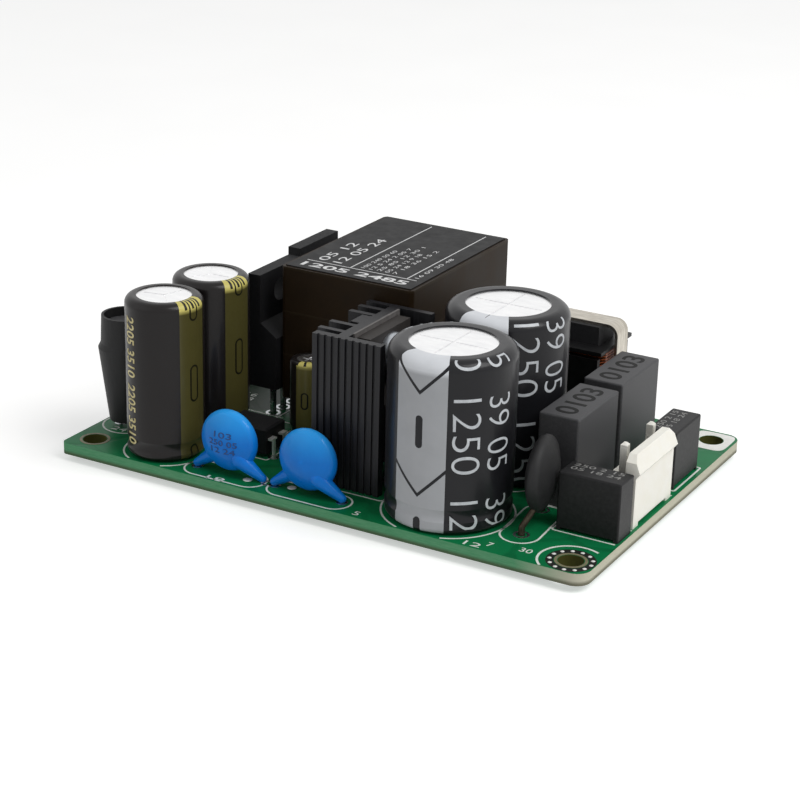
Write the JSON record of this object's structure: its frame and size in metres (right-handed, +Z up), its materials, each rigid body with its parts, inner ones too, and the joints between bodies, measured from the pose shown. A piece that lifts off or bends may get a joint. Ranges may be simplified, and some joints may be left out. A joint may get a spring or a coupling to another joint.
{
  "type": "switching power supply",
  "caption": "Open-frame switching power supply on a green circuit board with capacitors, chokes, a transformer, a finned heat sink, fuses and white pin headers.",
  "frame": {"origin": "middle of the board outline, level with the tips of the trimmed leads under the board", "axes": "+X towards the mains input edge of the board, +Y towards the long edge far from the large front capacitor, +Z up out of the board's component side"},
  "size_m": [0.0762, 0.0508, 0.0248],
  "materials": {
    "board": "satin solder mask over glass laminate",
    "steel": "tinned wire, satin",
    "can": "bright drawn can",
    "bulk_sleeve": "glossy dark sleeve",
    "output_sleeve": "glossy near-black sleeve",
    "seal": "matte rubber",
    "film": "matte moulded case",
    "thermistor": "matte dip coating",
    "blue_disc": "glossy dip coating",
    "nylon": "white nylon",
    "sink": "black anodised",
    "package": "matte moulded epoxy",
    "pad": "grey insulating sheet",
    "screw": "zinc plated",
    "ferrite": "matte ferrite",
    "copper": "enamelled copper",
    "bobbin": "black moulding",
    "strap": "bright strip steel",
    "wrap": "brown-black tape",
    "label": "dark plate",
    "tube": "shrunk tube"
  },
  "bodies": {
    "root": {"bulk_capacitor_front_can": "can", "bulk_capacitor_front_seal": "seal", "bulk_capacitor_front_sleeve": "bulk_sleeve", "bulk_capacitor_leads": "steel", "bulk_capacitor_rear_can": "can", "bulk_capacitor_rear_seal": "seal", "bulk_capacitor_rear_sleeve": "bulk_sleeve", "circuit_board": "board", "disc_capacitor_leads": "steel", "disc_capacitor_left": "blue_disc", "disc_capacitor_right": "blue_disc", "film_capacitor_front": "film", "film_capacitor_leads": "steel", "film_capacitor_rear": "film", "fuse_front": "film", "fuse_leads": "steel", "fuse_rear": "film", "heat_sink": "sink", "heat_sink_pins": "steel", "input_header": "nylon", "input_header_pins": "steel", "line_choke_bobbin": "bobbin", "line_choke_coils": "copper", "line_choke_core": "ferrite", "line_choke_pins": "steel", "line_choke_strap": "strap", "opto_coupler": "package", "opto_coupler_pins": "steel", "output_capacitor_front_can": "can", "output_capacitor_front_seal": "seal", "output_capacitor_front_sleeve": "output_sleeve", "output_capacitor_leads": "steel", "output_capacitor_rear_can": "can", "output_capacitor_rear_seal": "seal", "output_capacitor_rear_sleeve": "output_sleeve", "output_choke_coil": "copper", "output_choke_drum": "ferrite", "output_choke_leads": "steel", "output_choke_tube": "tube", "output_header": "nylon", "output_header_pins": "steel", "rectifier_front": "package", "rectifier_leads": "steel", "rectifier_rear": "package", "small_capacitor_can": "can", "small_capacitor_leads": "steel", "small_capacitor_seal": "seal", "small_capacitor_sleeve": "output_sleeve", "switch_leads": "steel", "switch_package": "package", "switch_pad": "pad", "switch_screw": "screw", "thermistor_disc": "thermistor", "thermistor_leads": "steel", "transformer_bobbin": "bobbin", "transformer_coil": "copper", "transformer_core": "ferrite", "transformer_label": "label", "transformer_pins": "steel", "transformer_wrap": "wrap"}
  },
  "joints": []
}
